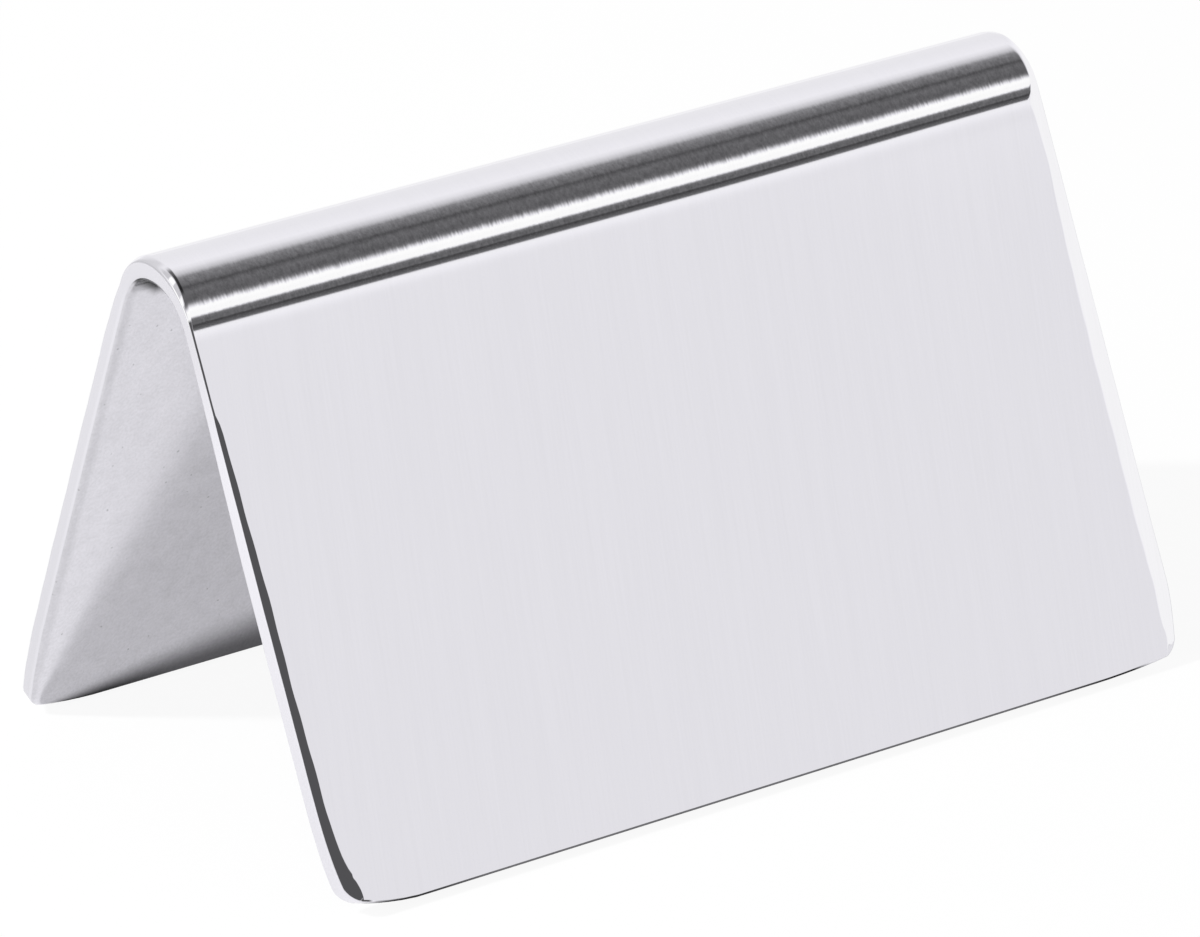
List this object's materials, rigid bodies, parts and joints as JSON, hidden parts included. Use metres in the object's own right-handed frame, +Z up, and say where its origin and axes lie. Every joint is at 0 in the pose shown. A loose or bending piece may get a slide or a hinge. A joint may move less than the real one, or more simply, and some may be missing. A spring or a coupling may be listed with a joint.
{
  "type": "place card holder",
  "caption": "Tent-shaped place card holder bent from stainless steel sheet, with a rounded ridge, flat leaning faces for a name and rounded lower corners.",
  "frame": {"origin": "on the table, midway between the two legs and midway along the ridge: the centre of the bounding box's bottom face", "axes": "+X along the ridge, -Y towards the front face, +Z up from the table"},
  "size_m": [0.052, 0.0318, 0.0302],
  "materials": {
    "stainless_steel": "finely brushed outer face, bright polished edges and bend, dull mill finish inside"
  },
  "bodies": {
    "root": {"folded_sheet": "stainless_steel"}
  },
  "joints": []
}
